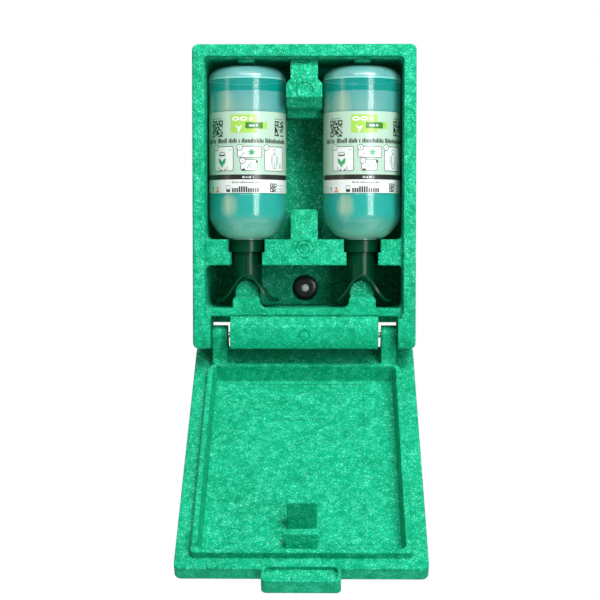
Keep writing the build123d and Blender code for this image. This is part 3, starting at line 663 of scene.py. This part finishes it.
def panelShapes(look):
    shapes = []
    for left, low, right, high, x, z in labelPanels:
        wide, tall, badge = look["markWide"], look["markTall"], look["badge"]
        shapes += [
            ("white", 0, [roundBox(left, low, right, high, look["corner"])]),
            ("grey", 1, roundFrame(left, low, right, high, look["corner"], look["line"])),
            ("white", 2, [oval(x, z, badge, badge)]),
            ("grey", 3, ringOf(x, z, badge, look["badgeLine"])),
            ("grey", 3, [box2(x - wide, z - tall, x + wide, z + tall)]),
        ]
    return shapes


def panelPictures(dice):
    return [
        ("grey", 2, frameOf(oval(-31.0, 219.6, 4.4, 2.2), oval(-31.0, 219.6, 3.7, 1.5))),
        ("black", 3, [roundBox(-35.2, 217.2, -26.8, 218.7, 0.6)]),
        ("leaf", 2, [
            [(-36.4, 215.0), (-33.4, 213.6), (-31.0, 210.8), (-28.6, 213.6), (-25.6, 215.0), (-26.6, 209.2),
             (-29.4, 207.4), (-30.0, 205.0), (-32.0, 205.0), (-32.6, 207.4), (-35.4, 209.2)]]),
        ("black", 2, [
            box2(-36.6, 202.2, -35.8, 204.6), box2(-27.6, 201.2, -26.2, 202.8),
            box2(-33.6, 201.2, -31.4, 202.4), box2(-24.6, 202.0, -23.8, 204.8)]),
        ("grey", 2, strokes(-22.6, -17.6, 223.6, 224.4, 0.8, dice)),
        ("leaf", 2, star(4.6, 221.2, 5.0, 2.2, 7)),
        ("grey", 2, [
            [(-6.4, 218.4), (-3.4, 221.6), (-3.0, 221.2), (-6.0, 218.0)], box2(-9.4, 216.4, -5.6, 217.0),
            [(10.0, 223.3), (13.6, 225.4), (13.9, 224.9), (10.3, 222.8)]]),
        ("teal", 2, [
            [(-1.4, 203.4), (-0.6, 203.0), (4.4, 209.6), (3.6, 210.2)], box2(7.2, 206.0, 9.4, 206.7),
            [(2.4, 203.6), (6.4, 208.2), (6.9, 207.8), (2.9, 203.2)]]),
        ("black", 2, [box2(9.0, 209.4, 11.4, 212.4), box2(-6.4, 201.2, -2.8, 203.0)]),
        ("grey", 2, roundFrame(30.2, 203.0, 36.4, 219.4, 2.4, 0.55) + ringOf(33.3, 222.6, 2.6, 0.55)
         + [box2(33.0, 203.7, 33.6, 211.0), box2(28.2, 208.0, 28.8, 217.0), box2(37.8, 208.0, 38.4, 217.0)]),
        ("leaf", 2, [
            [(40.0, 203.2), (41.0, 203.2), (43.4, 209.4), (42.6, 209.8)],
            [(43.0, 203.2), (43.8, 203.2), (45.4, 207.4), (44.8, 207.8)]]),
    ]


def printPiece(name, shapes, cut, bend):
    # cuts flat outlines into narrow facets, then lays every point where bend says
    mesh = bpy.data.meshes.new(name)
    used = []
    shape = bmesh.new()
    layers = shape.faces.layers.int.new("layer")
    for ink, layer, outlines in shapes:
        if ink not in used:
            used.append(ink)
            mesh.materials.append(materials[ink])
        for outline in outlines:
            face = shape.faces.new([shape.verts.new((x, 0.0, z)) for x, z in outline])
            face.material_index = used.index(ink)
            face[layers] = layer
    bmesh.ops.triangulate(shape, faces=[face for face in shape.faces if len(face.verts) > 4])
    left = min(vert.co.x for vert in shape.verts)
    right = max(vert.co.x for vert in shape.verts)
    cuts = int((right - left) / cut) if cut else 0
    for step in range(1, cuts + 1):
        everything = list(shape.verts) + list(shape.edges) + list(shape.faces)
        bmesh.ops.bisect_plane(shape, geom=everything, dist=0.001, plane_co=(left + step * cut, 0, 0),
                               plane_no=(1, 0, 0))
    layerOf = {vert: face[layers] for face in shape.faces for vert in face.verts}
    for vert, layer in layerOf.items():
        vert.co = bend(vert.co.x, vert.co.z, layer)
    bmesh.ops.recalc_face_normals(shape, faces=shape.faces)
    shape.to_mesh(mesh)
    shape.free()
    piece = bpy.data.objects.new(name, mesh)
    scene.collection.objects.link(piece)
    return piece


def makeLabelPrint(side, look):
    low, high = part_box("label_" + side)
    middleX = (low.x + high.x) / 2
    radius = (high.x - low.x) / 2
    axisY = low.y + radius

    def bend(x, z, layer):
        reach = radius + look["lift"] + layer * look["layer"]
        angle = (x + look["turn"][side]) / 1000 / radius
        height = footZ + (z - look["drop"]) / 1000
        return (middleX + reach * math.sin(angle), axisY - reach * math.cos(angle), height)

    dice = random.Random(look["seed"])
    shapes = labelBands(dice) + panelShapes(panelLine) + panelPictures(dice)
    piece = printPiece("labelPrint_" + side, shapes, look["cut"], bend)
    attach(piece, "bottle_" + side)


for side in sides:
    makeLabelPrint(side, labelArt)
print("label print ready")


signArt = {
    "lift": 0.00012,
    "open": 125.0,  # degrees from shut
    "pinUp": 0.014,  # the hinge's axis over the case's foot
    "pinIn": 0.0285,  # and behind its front
    "gap": 0.0004,  # between the shut lid and the case
    "face": 0.0284,  # the sign's face over the plate's inner face
    "middle": 0.1815,  # of the sign, up the shut lid
    "frame": 66,  # half size of the white border, in millimetres
    "corner": 4,
    "line": 2.5,
    "eyeDown": 18,
    "eyeWide": 44,
    "eyeTall": 22,
    "lidSide": 6,  # thickness of the eye's outline at its sides and at its top
    "lidTop": 5.5,
    "pupil": 11,
    "cross": ((30, 30, 54, 38), (38, 38, 46, 46), (38, 22, 46, 30)),
    "dropR": 3.2,
    "dropTall": 9.0,
    "drops": ((-44, 40), (-28, 32), (-12, 40), (4, 32), (-36, 16), (-20, 12), (-4, 16)),
}


def signShapes(look):
    # a plain eye under falling drops, and a cross
    half, eyeZ = look["frame"], -look["eyeDown"]
    eye = oval(0, eyeZ, look["eyeWide"], look["eyeTall"], 40)
    inner = oval(0, eyeZ, look["eyeWide"] - look["lidSide"], look["eyeTall"] - look["lidTop"], 40)
    shapes = [
        ("white", 0, roundFrame(-half, -half, half, half, look["corner"], look["line"])),
        ("white", 0, frameOf(eye, inner)),
        ("white", 0, [oval(0, eyeZ, look["pupil"], look["pupil"], 32)]),
        ("white", 0, [box2(*part) for part in look["cross"]]),
    ]
    for x, z in look["drops"]:
        turns = [math.pi * i / 12 for i in range(12, 25)]  # the lower half of a circle
        drop = [(x + look["dropR"] * math.cos(turn), z + look["dropR"] * math.sin(turn)) for turn in turns]
        shapes.append(("white", 0, [drop + [(x, z + look["dropTall"])]]))
    return shapes


def makeSignPrint(look):
    tip = math.radians(look["open"])
    outward = Vector((0.0, -math.cos(tip), -math.sin(tip)))
    along = Vector((0.0, -math.sin(tip), math.cos(tip)))
    across = Vector((1.0, 0.0, 0.0))
    pin = Vector((0.0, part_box("case")[0].y + look["pinIn"], footZ + look["pinUp"]))
    face = pin + outward * (look["pinIn"] + look["gap"] + look["face"]) - along * look["pinUp"]

    def bend(x, z, layer):
        return face + across * (x / 1000) + along * (look["middle"] + z / 1000) + outward * look["lift"]

    piece = printPiece("signPrint", signShapes(look), 0, bend)
    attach(piece, "lid")


makeSignPrint(signArt)
print("sign print ready")


view = {
    "place": (0.0214, -1.7319, -0.0453),
    "pitch": 87.19,
    "yaw": 0.92,
    "lens": 86.94,
    "sensor": 36.0,
}


def makeCamera(look):
    data = bpy.data.cameras.new("camera")
    data.lens = look["lens"]
    data.sensor_width = look["sensor"]
    camera = bpy.data.objects.new("camera", data)
    camera.location = look["place"]
    camera.rotation_euler = (math.radians(look["pitch"]), 0.0, math.radians(look["yaw"]))
    scene.collection.objects.link(camera)
    scene.camera = camera


lampAim = (0.0, -0.08, 0.02)
lamps = [
    # name, degrees right of straight ahead, degrees up, distance, width, height, watts, colour
    ("keyBox", 30.0, 40.0, 1.7, 0.70, 0.70, 21.0, (1.0, 0.99, 0.97)),
    ("streakCard", 27.0, 4.0, 1.7, 0.48, 1.00, 15.0, (1.0, 1.0, 1.0)),
    ("frontBox", 2.0, 44.0, 1.5, 1.2, 0.6, 12.5, (1.0, 1.0, 1.0)),
    ("topBox", -4.0, 70.0, 1.5, 1.2, 0.6, 3.0, (0.98, 1.0, 1.0)),
    ("backBox", 205.0, 25.0, 2.6, 1.6, 1.2, 26.0, (1.0, 1.0, 1.0)),
    ("warmCard", -60.0, 4.0, 1.6, 0.35, 0.5, 1.5, (1.0, 0.86, 0.68)),
]


def makeLamp(name, right, high, distance, wide, tall, watts, tone):
    data = bpy.data.lights.new(name, "AREA")
    data.shape = "RECTANGLE"
    data.size = wide
    data.size_y = tall
    data.energy = watts
    data.color = tone
    lamp = bpy.data.objects.new(name, data)
    turn, rise = math.radians(right), math.radians(high)
    way = Vector((math.sin(turn) * math.cos(rise), -math.cos(turn) * math.cos(rise), math.sin(rise)))
    lamp.location = Vector(lampAim) + way * distance
    lamp.rotation_euler = way.to_track_quat("Z", "Y").to_euler()
    scene.collection.objects.link(lamp)


room = {
    "seen": 1.0,
    "light": 0.25,  # the room lights the station less than it shows
    "tone": (1.0, 1.0, 1.0, 1.0),
    "floorHalf": 1.6,
    "floorDown": 0.9,  # under the open lid: the station hangs at the height of a user's eyes
}


def makeWorld(look):
    world = bpy.data.worlds.new("studio")
    world.use_nodes = True
    tree = NodeTree(world.node_tree)
    seen = tree.node("ShaderNodeLightPath", {}, {}, "Is Camera Ray")
    levels = {"Value": seen, "To Min": look["light"], "To Max": look["seen"]}
    strength = tree.node("ShaderNodeMapRange", {}, levels)
    back = tree.node("ShaderNodeBackground", {}, {"Color": look["tone"], "Strength": strength})
    tree.node("ShaderNodeOutputWorld", {}, {"Surface": back})
    scene.world = world


def makeFloor(look):
    mesh = bpy.data.meshes.new("studioFloor")
    shape = bmesh.new()
    bmesh.ops.create_grid(shape, x_segments=8, y_segments=8, size=look["floorHalf"])
    shape.to_mesh(mesh)
    shape.free()
    mesh.materials.append(materials["paleFloor"])
    floor = bpy.data.objects.new("studioFloor", mesh)
    floor.location = (0.0, 0.0, cadBox[0].z - look["floorDown"])
    scene.collection.objects.link(floor)


makeCamera(view)
for lamp in lamps:
    makeLamp(*lamp)
makeWorld(room)
makeFloor(room)
scene.view_settings.view_transform = "Standard"
print("camera and lights ready")
